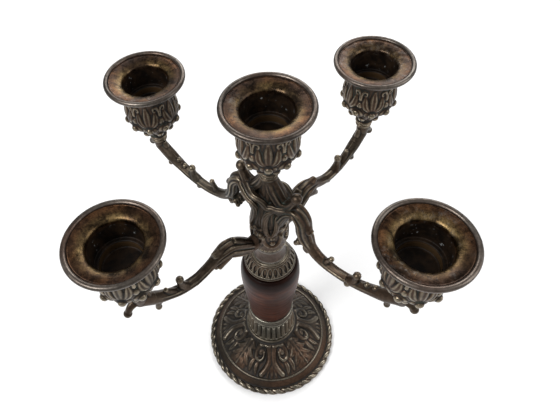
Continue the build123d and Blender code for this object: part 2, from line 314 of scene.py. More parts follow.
def neighbour_mean(co, edges):
    total = np.zeros_like(co)
    count = np.bincount(edges.ravel(), minlength=len(co))
    for axis in range(3):
        total[:, axis] = (np.bincount(edges[:, 0], co[edges[:, 1], axis], len(co))
                          + np.bincount(edges[:, 1], co[edges[:, 0], axis], len(co)))
    return total / np.maximum(count, 1)[:, None]


def note(piece, name, values):
    """Writes a number for each vertex, which a material reads by name."""
    layer = piece.data.attributes.new(name, "FLOAT", "POINT")
    layer.data.foreach_set("value", np.asarray(values, np.float32))


def note_hollows(piece, reach=0.6, rounds=14):
    """Writes the cavity attribute: 0 deep in a hollow, 0.5 on a plain face, 1 on a crest."""
    mesh = piece.data
    co, edges = mesh_arrays(mesh)
    calm = co.copy()
    for _ in range(rounds):
        calm = calm + 0.6 * (neighbour_mean(calm, edges) - calm)
    normals = np.zeros(len(co) * 3)
    mesh.vertices.foreach_get("normal", normals)
    height = ((co - calm) * normals.reshape(-1, 3)).sum(1) / MM
    note(piece, "cavity", np.clip(0.5 + 0.5 * height / (reach * 0.35), 0, 1))


def moved(piece, x, y, z):
    """Shifts a piece's mesh, so that its object stays at the origin."""
    piece.data.transform(Matrix.Translation(Vector((x, y, z)) * MM))
    return piece


# ---- materials


class Nodes:
    """A node tree, with short ways to add to it. Values are sockets, numbers or colours."""

    def __init__(self, tree, coords="Object"):
        self.tree = tree
        tree.nodes.clear()
        self.coords = self.node("TexCoord").outputs[coords]

    def node(self, kind, **settings):
        node = self.tree.nodes.new("ShaderNode" + kind)
        for key, value in settings.items():
            setattr(node, key, value)
        return node

    def feed(self, socket, value):
        if isinstance(value, bpy.types.NodeSocket):
            self.tree.links.new(value, socket)
        elif isinstance(value, (tuple, list)):
            socket.default_value = (*value, 1)
        else:
            socket.default_value = value

    def noise(self, scale, detail=4.0, roughness=0.55, distortion=0.0, coords=None):
        """Noise whose scale is in features per metre."""
        node = self.node("TexNoise")
        self.feed(node.inputs["Vector"], coords or self.coords)
        self.feed(node.inputs["Scale"], scale)
        self.feed(node.inputs["Detail"], detail)
        self.feed(node.inputs["Roughness"], roughness)
        self.feed(node.inputs["Distortion"], distortion)
        return node.outputs["Fac"]

    def rings(self, scale, distortion=0.0):
        """Rings round the vertical axis, as a lathe leaves them."""
        node = self.node("TexWave", wave_type="BANDS", bands_direction="Z")
        self.feed(node.inputs["Vector"], self.coords)
        self.feed(node.inputs["Scale"], scale)
        self.feed(node.inputs["Distortion"], distortion)
        return node.outputs["Fac"]

    def ramp(self, value, stops, smooth=False):
        """Colour or grey ramp of (position, value) stops."""
        node = self.node("ValToRGB")
        self.feed(node.inputs["Fac"], value)
        band = node.color_ramp
        if smooth:
            band.interpolation = "EASE"
        while len(band.elements) < len(stops):
            band.elements.new(0.5)
        for element, (position, colour) in zip(band.elements, stops):
            if not isinstance(colour, (tuple, list)):
                colour = (colour,) * 3
            element.position = position
            element.color = (*colour, 1)
        return node.outputs["Color"]

    def patches(self, scale, detail, stops):
        """Ramp over plain noise."""
        return self.ramp(self.noise(scale, detail), stops)

    def mix(self, factor, first, second, blend="MIX"):
        node = self.node("Mix", data_type="RGBA", blend_type=blend)
        for number, value in ((0, factor), (6, first), (7, second)):
            self.feed(node.inputs[number], value)
        return node.outputs[2]

    def shade(self, colour, tone):
        return self.mix(1.0, colour, tone, "MULTIPLY")

    def arithmetic(self, operation, first, second, clamp=False):
        node = self.node("Math", operation=operation, use_clamp=clamp)
        self.feed(node.inputs[0], first)
        self.feed(node.inputs[1], second)
        return node.outputs[0]

    def times(self, first, second):
        return self.arithmetic("MULTIPLY", first, second)

    def swing(self, value, size):
        """Turns a 0 to 1 value into one that swings about zero."""
        return self.times(self.arithmetic("SUBTRACT", value, 0.5), size)

    def attribute(self, name):
        return self.node("Attribute", attribute_name=name).outputs["Fac"]


class Paint(Nodes):
    """A material on the principled shader."""

    def __init__(self, name):
        self.material = bpy.data.materials.new(name)
        self.material.use_nodes = True
        super().__init__(self.material.node_tree)
        self.shader = self.node("BsdfPrincipled")
        output = self.node("OutputMaterial")
        self.feed(output.inputs["Surface"], self.shader.outputs["BSDF"])

    def set(self, **inputs):
        """Feeds shader inputs by name, with underscores for the spaces."""
        for name, value in inputs.items():
            self.feed(self.shader.inputs[name.replace("_", " ")], value)

    def bump(self, height, strength, distance):
        node = self.node("Bump")
        self.feed(node.inputs["Height"], height)
        self.feed(node.inputs["Strength"], strength)
        self.feed(node.inputs["Distance"], distance)
        self.set(Normal=node.outputs["Normal"])


def tarnished_plate(name, body, crest, hollow, rough=(0.60, 0.25), green=0.0):
    """Old silver plate over brass: black in the hollows from tarnish and painted shade, brassy on the
    crests where fingers rub them, with a painted highlight there too.
    """
    paint = Paint(name)
    wear_and_shade = paint.arithmetic("ADD", paint.attribute("cavity"),
                            paint.swing(paint.noise(55, 5, 0.6, 0.4), 0.35))
    reddened = tuple(channel * shade for channel, shade in zip(body, (1.22, 0.90, 0.78)))
    warm = paint.mix(paint.patches(16, 3, [(0.40, 0.0), (0.60, 1.0)]), body, reddened)
    # Painted shade and highlight: the hollow colour is tarnish plus painted shade, and the crest
    # colour is rubbed brass plus painted highlight.
    base = paint.mix(paint.ramp(wear_and_shade, [(0.30, 0.0), (0.53, 1.0)], True), hollow, warm)
    base = paint.mix(paint.ramp(wear_and_shade, [(0.57, 0.0), (0.86, 1.0)], True), base, crest)
    base = paint.shade(base, paint.ramp(paint.noise(620, 3, 0.6), [(0.36, 0.72), (0.60, 1.08)]))
    base = paint.shade(base, paint.ramp(paint.noise(36, 4, 0.6), [(0.36, 0.58), (0.60, 1.14)]))
    if green:
        verdigris = paint.times(paint.ramp(wear_and_shade, [(0.20, 1.0), (0.42, 0.0)]),
                                paint.patches(90, 3, [(0.50, 0.0), (0.62, green)]))
        base = paint.mix(verdigris, base, (0.040, 0.052, 0.038))
    polish = paint.ramp(wear_and_shade, [(0.30, rough[0]), (0.85, rough[1])])
    grime = paint.swing(paint.noise(210, 4), 0.30)
    paint.set(Base_Color=base, Roughness=paint.arithmetic("ADD", polish, grime, True),
              Metallic=paint.ramp(wear_and_shade, [(0.22, 0.45), (0.50, 0.95)]))
    paint.bump(paint.noise(900, 5, 0.65), 0.28, 0.00022)
    return paint.material


def burnished_liner():
    """Inside of a candle liner: copper brown and blue-grey tarnish, a gold band near the throat that
    is part tarnish and part painted highlight, sooty in the bore.

    The depth attribute is 0 at the lip and 1 under the floor.
    """
    paint = Paint("burnished_liner")
    depth = paint.attribute("depth")
    cloud = paint.noise(70, 5, 0.62, 0.6)
    blotch = paint.noise(190, 5, 0.7, 0.3)
    copper = paint.ramp(cloud, [(0.30, (0.018, 0.010, 0.005)), (0.50, (0.046, 0.022, 0.011)),
                                (0.68, (0.125, 0.058, 0.024))])
    gold = paint.ramp(blotch, [(0.35, (0.055, 0.038, 0.018)), (0.62, (0.210, 0.145, 0.060))])
    # Gold band near the throat: part gold tarnish, part painted highlight.
    near_throat = paint.ramp(depth, [(0.055, 0.0), (0.10, 0.85), (0.155, 0.85), (0.19, 0.1)], True)
    gold_and_highlight = paint.times(near_throat, paint.ramp(cloud, [(0.40, 0.15), (0.60, 1.0)]))
    tarnish = paint.mix(gold_and_highlight, copper, gold)
    grey = paint.patches(45, 3, [(0.50, 0.0), (0.66, 0.45)])
    tarnish = paint.mix(grey, tarnish, (0.040, 0.027, 0.022))
    tarnish = paint.shade(tarnish, paint.ramp(blotch, [(0.38, 0.45), (0.56, 1.12)]))
    dust = paint.times(paint.ramp(paint.noise(380, 5, 0.7), [(0.52, 0.0), (0.68, 0.55)]),
                       paint.patches(30, 2, [(0.50, 0.0), (0.62, 0.8)]))
    tarnish = paint.mix(dust, tarnish, (0.160, 0.150, 0.138))
    scratches = paint.ramp(paint.noise(780, 6, 0.75, 1.5), [(0.38, 0.40), (0.58, 1.12)])
    tarnish = paint.shade(tarnish, scratches)
    soot = paint.ramp(depth, [(0.17, 0.0), (0.30, 0.93)], True)
    rusty = paint.ramp(blotch, [(0.42, (0.0045, 0.0030, 0.0020)), (0.66, (0.022, 0.012, 0.006))])
    base = paint.mix(soot, tarnish, rusty)
    recess_wall = paint.ramp(depth, [(0.765, 0.0), (0.785, 0.65), (0.925, 0.65), (0.955, 0.0)])
    base = paint.mix(recess_wall, base, (0.095, 0.055, 0.024))
    wax = paint.times(paint.patches(520, 2, [(0.67, 0.0), (0.72, 1.0)]),
                      paint.ramp(depth, [(0.24, 0.0), (0.34, 0.75), (0.62, 0.75), (0.72, 0.0)]))
    base = paint.mix(wax, base, (0.30, 0.31, 0.31))
    rough = paint.ramp(blotch, [(0.35, 0.22), (0.65, 0.42)])
    paint.set(Base_Color=base, Metallic=paint.ramp(soot, [(0.0, 0.92), (1.0, 0.25)]),
              Roughness=paint.mix(soot, rough, (0.55, 0.55, 0.55)),
              Specular_IOR_Level=paint.ramp(soot, [(0.0, 0.50), (1.0, 0.16)]))
    paint.bump(paint.noise(420, 5, 0.6), 0.22, 0.00025)
    return paint.material


def mahogany():
    """Dark varnished mahogany: streaks that run round the stem, and faint turning rings.

    The height attribute is 0 at the foot of the visible wood and 1 at its top; both ends are darkened
    with painted shade, where the wood meets the ferrule and the cap.
    """
    paint = Paint("mahogany")
    stretch = paint.node("Mapping")
    stretch.inputs["Scale"].default_value = (0.22, 0.22, 1.0)
    paint.feed(stretch.inputs["Vector"], paint.coords)
    stretched = stretch.outputs["Vector"]
    grain = paint.noise(420, 6, 0.62, 0.5, stretched)
    figure = paint.noise(85, 3, 0.5, 1.2, stretched)
    wood = paint.ramp(grain, [(0.30, (0.014, 0.0045, 0.003)), (0.50, (0.040, 0.013, 0.008)),
                              (0.70, (0.092, 0.030, 0.016))])
    wood = paint.shade(wood, paint.ramp(figure, [(0.35, 0.68), (0.65, 1.15)]))
    # Painted shade: a little darker at the foot by the ferrule, and much darker at the top under the
    # cap.
    painted_shade_ends = [(0.0, 0.50), (0.07, 1.0), (0.80, 1.0), (0.93, 0.25)]
    wood = paint.shade(wood, paint.ramp(paint.attribute("height"), painted_shade_ends, True))
    paint.set(Base_Color=wood, Roughness=paint.ramp(figure, [(0.3, 0.30), (0.7, 0.42)]),
              Specular_IOR_Level=0.07)
    paint.bump(paint.mix(0.15, grain, paint.rings(260, 2.5)), 0.10, 0.0002)
    return paint.material


def felt():
    paint = Paint("green_felt")
    fibres = paint.noise(1500, 6, 0.75, 2.0)
    green = paint.ramp(fibres, [(0.35, (0.012, 0.030, 0.018)), (0.65, (0.045, 0.085, 0.055))])
    paint.set(Base_Color=green, Roughness=0.95, Sheen_Weight=0.5)
    paint.bump(fibres, 0.6, 0.0004)
    return paint.material


def plain_steel():
    """Turned steel: dull, with fine rings from the lathe and a little rust."""
    paint = Paint("plain_steel")
    rust = paint.ramp(paint.noise(240, 5, 0.65), [(0.52, 0.0), (0.66, 0.75)])
    paint.set(Base_Color=paint.mix(rust, (0.42, 0.42, 0.41), (0.16, 0.075, 0.035)),
              Metallic=paint.ramp(rust, [(0.0, 0.95), (1.0, 0.25)]),
              Roughness=paint.ramp(rust, [(0.0, 0.35), (1.0, 0.75)]))
    paint.bump(paint.rings(900), 0.25, 0.0001)
    return paint.material


# Plate on the castings, the chased foot, the cap, the collar's ribs, the ferrule and the smooth lips
# Each plate gives body, crest and hollow colours. The crest colour holds painted highlight and the
# hollow colour holds painted shade, as well as wear and tarnish.
CAST = tarnished_plate("cast_plate", (0.058, 0.048, 0.036), (0.205, 0.170, 0.122),
                       (0.008, 0.006, 0.004), green=0.6)
CHASED = tarnished_plate("chased_plate", (0.062, 0.050, 0.038), (0.165, 0.143, 0.110),
                         (0.013, 0.010, 0.007))
# Brighter copy of the plate for the cap: its lighter body and crest colours are partly painted
# highlight.
CAP_PLATE_PAINTED_LIGHT = tarnished_plate("ribbed_plate_painted_highlight", (0.088, 0.075, 0.056), (0.250, 0.220, 0.170),
                         (0.010, 0.008, 0.006))
# Brighter copy of the plate for the collar's ribs: its lighter body and crest colours are painted
# highlight.
RIB_PLATE_PAINTED_LIGHT = tarnished_plate("rib_plate_painted_highlight", (0.200, 0.185, 0.145), (0.420, 0.390, 0.310),
                       (0.010, 0.008, 0.006))
PALE = tarnished_plate("pale_plate", (0.115, 0.108, 0.086), (0.210, 0.195, 0.160),
                       (0.030, 0.026, 0.020))
LIP = tarnished_plate("lip_plate", (0.064, 0.054, 0.046), (0.135, 0.120, 0.104),
                      (0.018, 0.014, 0.011), (0.46, 0.30))
LINER = burnished_liner()
WOOD = mahogany()
FELT = felt()
STEEL = plain_steel()


def dress(piece, material, slot, body, *nodes):
    """Gives a finished piece its material, and makes it stand for its CAD nodes. The slot argument is
    not used.
    """
    piece.data.materials.clear()
    piece.data.materials.append(material)
    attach(piece, body)
    if nodes:
        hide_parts(*nodes)
    return piece


# ---- the stand

STEP = 0.34            # spacing of points on a chased surface
PLAIN_STEP = 0.8       # spacing on a plain one
ROD_HOLE = 3.3
FRONT = -math.pi / 2


def stack_z(node):
    """Underside and top of a node in millimetres."""
    low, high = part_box(node)
    return low.z / MM, high.z / MM


def radius_of(node):
    low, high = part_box(node)
    return (high.x - low.x) / 2 / MM


ROPE_RADIUS = 2.1
ROPE_LOBES = 42
ROPE_RISE = 0.95
ROPE_SLANT = 0.95
FOOT_MOTIFS = 4


def turned(name, node, material, outer, inner, segments, relief=None, reach=0.6):
    """Plated ring-shaped piece of the stand, from the profiles of its outside and inside."""
    push = outside(outer, relief) if relief else None
    piece = make_piece(name, *lathe(joined(outer, inner), segments, push, closed=True))
    note_hollows(piece, reach)
    return dress(piece, material, "tarnished_plate", STAND, node)


def foot_strokes():
    """Half of the foot's motif: x is across the motif, y is the distance from the stem."""

    def polar(*points):
        return [(r * math.sin(math.radians(a)), r * math.cos(math.radians(a))) for a, r in points]

    return [
        (polar((7.5, 17.4), (4.8, 20.5), (3.2, 24), (4.0, 28), (8.0, 32), (12.5, 35.5)),
         2.1, 2.1, "stem"),
        (polar((0, 24.5), (0, 30.5), (0, 37.2)), 1.7, 1.3, "leaf"),
        (polar((1.8, 29), (4.4, 33), (5.4, 36.8)), 1.3, 1.3, "leaf"),
        (polar((8.5, 18.2), (14.5, 17.8), (22, 19.2), (26.4, 22.6), (24.4, 26.6), (18.0, 27.8),
               (13.4, 25.6), (13.4, 22.6)), 2.1, 2.1, "taper"),
        (polar((18.6, 22.4), (19.2, 23.0)), 2.1, 1.7, "stem"),
        (polar((45, 17.6), (45, 27), (45, 37.2)), 1.9, 2.1, "taper"),
        (polar((45, 22), (43, 29), (41, 35)), 4.6, 0.9, "stem"),
        (polar((44, 19.2), (37, 21.8), (30.5, 22.8)), 1.9, 1.6, "leaf"),
        (polar((44, 22), (36.5, 26.2), (30.0, 28.0)), 2.2, 1.8, "leaf"),
        (polar((44.4, 25.4), (37.8, 30.4), (32.6, 33.4)), 2.3, 1.8, "leaf"),
        (polar((44.6, 29), (40.6, 33.8), (38.2, 37.0)), 2.0, 1.6, "leaf"),
        (polar((25.4, 27.2), (28, 31), (27.6, 35.6)), 1.9, 1.6, "leaf"),
        (polar((19.4, 28.6), (21.0, 32.2), (19.4, 36.4)), 1.8, 1.5, "leaf"),
    ]


def make_foot():
    low, high = stack_z("foot")
    rope_ring = radius_of("foot") - ROPE_RADIUS
    rope_centre = (rope_ring, low + ROPE_RADIUS)
    ridge = (38.2, 8.2)
    neck_ring = (16.7, high - 0.9)
    outer = joined(
        arc(rope_centre, ROPE_RADIUS, -90, 142, STEP),
        straight([(42.4, 4.5), (38.9, 8.0)], STEP),
        arc(ridge, 0.75, -10, 150, 0.2),
        curve([(37.4, 8.7), (29.5, 14.2), (21.6, 20.2), (17.9, 24.6)], STEP),
        arc(neck_ring, 0.9, -20, 190, 0.2),
        straight([(15.6, high - 0.9), (15.4, high), (ROD_HOLE, high)], PLAIN_STEP),
    )
    inner = straight([
        (ROD_HOLE, high - 2.2), (14.2, high - 2.2), (20.0, 19.1), (28.7, 12.6), (37.4, 7.2),
        (41.1, 3.2), (37.0, 3.2), (37.0, 1.3), (41.4, 1.3), (41.4, low), (rope_ring - 0.5, low),
    ], 1.6)
    strokes = foot_strokes()

    def relief(theta, radius, height):
        from_rope = radius - rope_centre[0], height - rope_centre[1]
        around = np.arctan2(from_rope[1], from_rope[0])
        on_rope = np.abs(np.hypot(*from_rope) - ROPE_RADIUS) < 0.02
        lobe = np.abs(np.sin(ROPE_LOBES * theta / 2 + ROPE_SLANT * around)) ** 0.6
        rope = on_rope * window(around, -1.5, 2.6, 0.5) * ROPE_RISE * (lobe - 0.85)
        on_dome = window(radius, 18.0, 37.4, 0.8) * (height > ridge[1] + 0.2)
        angle = folded(theta, FOOT_MOTIFS, FRONT)[None, :]
        x, y = radius * np.sin(angle), radius * np.cos(angle)
        return rope + worn(on_dome * (chased(x, y, strokes) - 0.45), 5)

    return turned("chased_foot", "foot", CHASED, outer, inner, 900, relief)


COLLAR_RIBS = 26
CAP_FLUTES = 26
RING_BEADS = 24


def make_collar():
    low, high = stack_z("foot_collar")
    outer = joined(
        straight([(15.8, low), (16.3, low + 0.8)], STEP),
        curve([(16.3, low + 1.0), (15.4, low + 7), (14.8, low + 14), (14.5, high)], STEP),
    )
    inner = straight([
        (ROD_HOLE, high), (ROD_HOLE, high - 1.4), (12.5, high - 1.4), (13.2, low),
    ], 2.0)

    def relief(theta, radius, height):
        rib = np.abs(np.cos(COLLAR_RIBS * theta / 2))[None, :] ** 0.7
        return window(height, low + 0.8, high - 2.4, 1.2) * (2.0 * rib - 1.35)

    return turned("fluted_collar", "foot_collar", RIB_PLATE_PAINTED_LIGHT, outer, inner, 640, relief)


def make_ferrule():
    low, high = stack_z("lower_ferrule")
    outer = joined(
        straight([(14.4, low), (14.9, low)], STEP),
        arc((14.6, low + 0.9), 0.9, -60, 70, 0.2),
        curve([(14.9, low + 2.0), (14.75, low + 4.2), (15.0, high - 1.0)], STEP),
        arc((14.55, high - 0.6), 0.6, 0, 90, 0.15),
    )
    inner = straight([
        (12.0, high), (12.0, high - 4.0), (ROD_HOLE, high - 4.0), (ROD_HOLE, low), (14.2, low),
    ], 1.5)
    return turned("plain_ferrule", "lower_ferrule", PALE, outer, inner, 256)


def make_wood():
    low, high = stack_z("wood_column")
    foot_z = low + 4.0
    outer = joined(
        straight([(12.0, foot_z), (14.1, foot_z)], PLAIN_STEP),
        curve([(14.4, foot_z + 0.4), (15.3, 68), (16.6, 80), (17.8, 92), (18.25, 101.5),
               (17.9, 108), (16.9, 112.4), (15.8, high - 0.15), (15.0, high)], PLAIN_STEP),
    )
    inner = straight([(14.0, high), (ROD_HOLE, high), (ROD_HOLE, low), (12.0, low)], 2.5)

    def relief(theta, radius, height):
        return 0.02 * np.sin(height * 1.3) * window(height, foot_z + 3, high - 3, 4)

    verts, faces = lathe(joined(outer, inner), 256, outside(outer, relief), closed=True)
    wood = make_piece("turned_column", verts, faces)
    note(wood, "height", (verts[:, 2] - foot_z) / (high - foot_z))
    return dress(wood, WOOD, "mahogany", STAND, "wood_column")


def make_cap():
    """Low cap over the wood, with a dark throat below its rim and a row of oval flutes."""
    low, high = stack_z("upper_collar")
    outer = joined(
        straight([(13.2, low), (13.4, low + 1.4)], STEP),
        arc((14.6, low + 2.1), 0.75, -120, 60, 0.15),
        arc((14.5, low + 3.5), 0.45, -60, 120, 0.15),
        curve([(14.2, low + 4.0), (13.0, low + 7.2), (11.6, high - 2.0)], 0.22),
        arc((11.0, high - 1.6), 0.6, -10, 110, 0.15),
        arc((10.3, high - 0.7), 0.6, -10, 100, 0.15),
        straight([(10.1, high), (ROD_HOLE, high)], PLAIN_STEP),
    )
    inner = straight([
        (ROD_HOLE, high - 2.4), (7.8, high - 2.4), (12.0, low + 2), (12.0, low), (13.0, low),
    ], 1.5)

    def relief(theta, radius, height):
        u = folded(theta, CAP_FLUTES, FRONT)[None, :] * radius
        egg = np.hypot(u / 1.25, (height - (low + 6.7)) / 3.1)
        face = window(height, low + 3.7, high - 1.8, 0.5)
        return face * (0.25 - (1 - smooth_step(egg, 0.70, 1.05)))

    return turned("fluted_cap", "upper_collar", CAP_PLATE_PAINTED_LIGHT, outer, inner, 780, relief)


def make_neck():
    low, high = stack_z("neck_sleeve")
    outer = curve([(9.8, low), (9.2, low + 2.2), (8.8, low + 6), (8.75, high)], 0.5)
    inner = straight([(7.0, high), (7.0, low)], 1.5)
    return turned("plain_neck", "neck_sleeve", LIP, outer, inner, 192)


def make_bead_ring():
    low, high = stack_z("bead_ring")
    middle = (low + high) / 2
    outer = joined(
        straight([(8.4, low), (8.9, low + 0.5)], 0.2),
        arc((8.2, middle), 1.0, -60, 60, 0.12),
        straight([(8.6, high - 1.0), (8.9, high - 0.4), (8.4, high)], 0.2),
    )
    inner = straight([(ROD_HOLE, high), (ROD_HOLE, low)], 1.5)

    def relief(theta, radius, height):
        from_bead = folded(theta, RING_BEADS, FRONT)[None, :] * 8.9 / 1.05
        bead = np.sqrt(np.clip(1 - from_bead ** 2, 0, 1))
        return window(height, middle - 1.3, middle + 1.3, 0.8) * (0.75 * bead - 0.35)

    return turned("beaded_ring", "bead_ring", CAST, outer, inner, 416, relief, 0.4)


make_foot()
make_collar()
make_ferrule()
make_wood()
make_cap()
make_neck()
make_bead_ring()


# ---- candle cups and liners

CUP_SEGMENTS = 420
BEAD_RADIUS = 1.3
LINER_LENGTH = 20.6
LINER_MID_WALL = 11.9
LIP_UNDERSIDE = -4.2    # height, from the lip's top, below which neither the lip nor a funnel reaches
LIP_INSIDE = 15.5       # radius inside which a cup's top has no lip
BODY_RADIUS = 13.4
STUD_HOLE_ROWS = 14     # rows of the profile, after the first, that are inside the stud hole
CUP_LEAVES, CUP_PETALS, SEAT_PETALS = 6, 10, 8
OUTSIDE_DEPTH = 0.23    # depth attribute of a liner's outside wall: half sooty, with no wax or recess


def cup_strokes():
    """Half of the cup's shell leaf: x is round the cup, y is the height below the lip."""
    return [
        ([(0, -23.8), (0, -17), (0, -10.6)], 2.4, 1.7, "leaf"),
        ([(1.2, -24), (3.9, -20), (4.6, -14.0)], 2.1, 1.7, "leaf"),
        ([(7.0, -16.4), (6.7, -13.2), (5.6, -11.0), (4.2, -11.4), (4.0, -13.2), (5.2, -13.4)],
         1.2, 1.5, "taper"),
        ([(7.0, -19.8), (7.0, -20.6)], 1.8, 1.6, "stem"),
    ]


def petal(x, y, top, bottom, width, height, eye):
    """Hanging petal with a round bead near its middle."""
    middle = (top + bottom) / 2
    half = (top - bottom) / 2
    shape = np.clip(1 - (x / width) ** 2 - ((y - middle) / half) ** 2, 0, 1) ** 0.5
    bead = np.clip(1 - (x ** 2 + (y - middle - 0.3 * half) ** 2) / eye ** 2, 0, 1) ** 0.5
    return height * shape + 0.75 * eye * bead


def cup_profile():
    """Outside of the cup from the stud hole up to the lip, then the inside back to the axis."""
    outer = joined(
        straight([(0, -37.9), (2.55, -37.9), (2.55, -44)], PLAIN_STEP),
        straight([(2.6, -44), (3.9, -44)], 0.4),
        arc((3.9, -42.6), 1.0, -60, 70, 0.2),
        curve([(3.7, -41.2), (4.2, -39.4), (6.6, -35.6), (9.8, -31.4), (12.8, -27),
               (13.5, -23), (13.2, -17.5), (12.9, -12.5), (13.2, -9.6), (14.4, -6.4),
               (17.0, -3.6), (19.4, -2.4)], STEP),
        arc((LIP_RADIUS - BEAD_RADIUS, -BEAD_RADIUS), BEAD_RADIUS, -85, 175, 0.22),
    )
    inner = straight([(18.4, -2.0), (12.5, -4.1), (12.4, -20.8), (0, -20.8)], 1.2)
    return outer, inner


def make_cup(place):
    x0, y0, lip_z = place_of(place)
    outer, inner = cup_profile()
    strokes = cup_strokes()

    def relief(theta, radius, height):
        past_stud_hole = np.arange(len(outer))[:, None] > STUD_HOLE_ROWS
        u = folded(theta, CUP_LEAVES, FRONT)[None, :] * BODY_RADIUS
        y = height * np.ones_like(u)
        upper = chased(u * np.ones_like(radius), y, strokes) * window(height, -25.2, -9.4, 1.2)
        around = folded(theta, CUP_PETALS, FRONT)[None, :] * radius
        middle_ring = petal(around, y, -23.2, -31.0, 3.9, 1.1, 1.75)
        middle_ring = middle_ring * window(height, -31.4, -22.6, 0.8)
        lower = folded(theta, SEAT_PETALS, FRONT + TURN / (2 * SEAT_PETALS))[None, :] * radius
        petal_width = 0.42 * radius * TURN / SEAT_PETALS + 0.4
        bottom_ring = petal(lower, y, -29.4, -38.8, petal_width, 1.1, 1.7)
        bottom_ring = bottom_ring * window(height, -39.4, -29.2, 0.8)
        upper = worn(upper - 0.3 * window(height, -25, -10, 2), 3)
        return past_stud_hole * np.maximum(upper, np.maximum(middle_ring, bottom_ring))

    shape = lathe(joined(outer, inner), CUP_SEGMENTS, outside(outer, relief))
    cup = make_piece("candle_cup_" + place, *shape)
    note_hollows(cup)
    moved(cup, x0, y0, lip_z)
    dress(cup, CAST, "tarnished_plate", "cup_" + place, "cup_" + place)
    cup.data.materials.append(LIP)
    x, y, z = np.array([face.center for face in cup.data.polygons]).T / MM
    on_lip = (z - lip_z > LIP_UNDERSIDE) & (np.hypot(x - x0, y - y0) > LIP_INSIDE)
    cup.data.polygons.foreach_set("material_index", on_lip.astype(np.int32))
    return cup


def make_liner(place, seed):
    """Drop-in liner: a shallow trumpet, a bore, a step ring, and a slightly uneven rim."""
    x0, y0, lip_z = place_of(place)
    outer = straight([
        (0, -LINER_LENGTH), (12.3, -LINER_LENGTH), (12.3, -4.3), (18.3, -1.95),
    ], 1.2)
    inner = joined(
        arc((18.2, -1.45), 0.45, -50, 120, 0.12),
        curve([(17.9, -1.15), (16.4, -1.3), (14.6, -1.65), (13.0, -2.25), (12.0, -3.1),
               (11.5, -4.4)], 0.3),
        straight([(11.5, -4.6), (11.5, -15.5)], 0.5),
        straight([(11.5, -15.5), (9.8, -15.5)], 0.3),
        straight([(9.5, -15.8), (9.5, -19.8), (0, -19.8)], 0.8),
    )
    profile = joined(outer, inner)
    rng = np.random.default_rng(seed)
    waves = [(k, rng.uniform(0, TURN), rng.uniform(0.4, 1.0)) for k in (2, 3, 5, 8, 13)]

    def relief(theta, rows):
        radius, height = rows[:, :1], rows[:, 1:]
        wobble = sum(size * np.sin(k * theta + phase) for k, phase, size in waves) / len(waves)
        return 0.10 * wobble[None, :] * window(radius, 13.5, 18.8, 2.0) * (height > -3)

    verts, faces = lathe(profile, 256, relief)
    liner = make_piece("candle_liner_" + place, verts, faces)
    depth = -verts[:, 2] / LINER_LENGTH
    radius = np.hypot(verts[:, 0], verts[:, 1])
    depth[(radius > LINER_MID_WALL) & (verts[:, 2] < LIP_UNDERSIDE)] = OUTSIDE_DEPTH
    note(liner, "depth", depth)
    moved(liner, x0, y0, lip_z)
    return dress(liner, LINER, "burnished_liner", "liner_" + place, "liner_" + place)


for seed, place in enumerate(PLACES, start=40):
    make_cup(place)
    make_liner(place, seed)


# ---- cast branches

BRANCH_VOXEL = 0.24
STUD_HOLE = 2.6
BRANCH_SEAM = 155.0     # height where the lower branch's hub meets the upper one's
HUB_RADIUS = 9.6
HUB_LEAVES = 6

LOWER_ARM = [(6, 147), (14.5, 146), (20.6, 151.5), (27, 156.8), (33, 157.2), (42, 151.6),
             (50, 148.9), (60.5, 150.4), (70, 156.6), (78.6, 165)]
LOWER_RADII = [4.4, 4.0, 3.9, 3.6, 3.0, 2.6, 2.6, 2.75, 3.4, 3.4]
UPPER_ARM = [(6, 161), (8.5, 168), (12.5, 177), (17.5, 181), (21.5, 177), (23, 169), (27, 160),
             (34, 154), (44, 151.6), (56, 153.6), (68, 159.4), (78.6, 167)]
UPPER_RADII = [3.3, 3.3, 3.0, 2.9, 2.9, 3.1, 2.8, 2.4, 2.45, 2.8, 3.5, 3.4]


def spread(values, count):
    """Evenly spaced values resampled to a count."""
    return np.interp(np.linspace(0, 1, count), np.linspace(0, 1, len(values)), values)


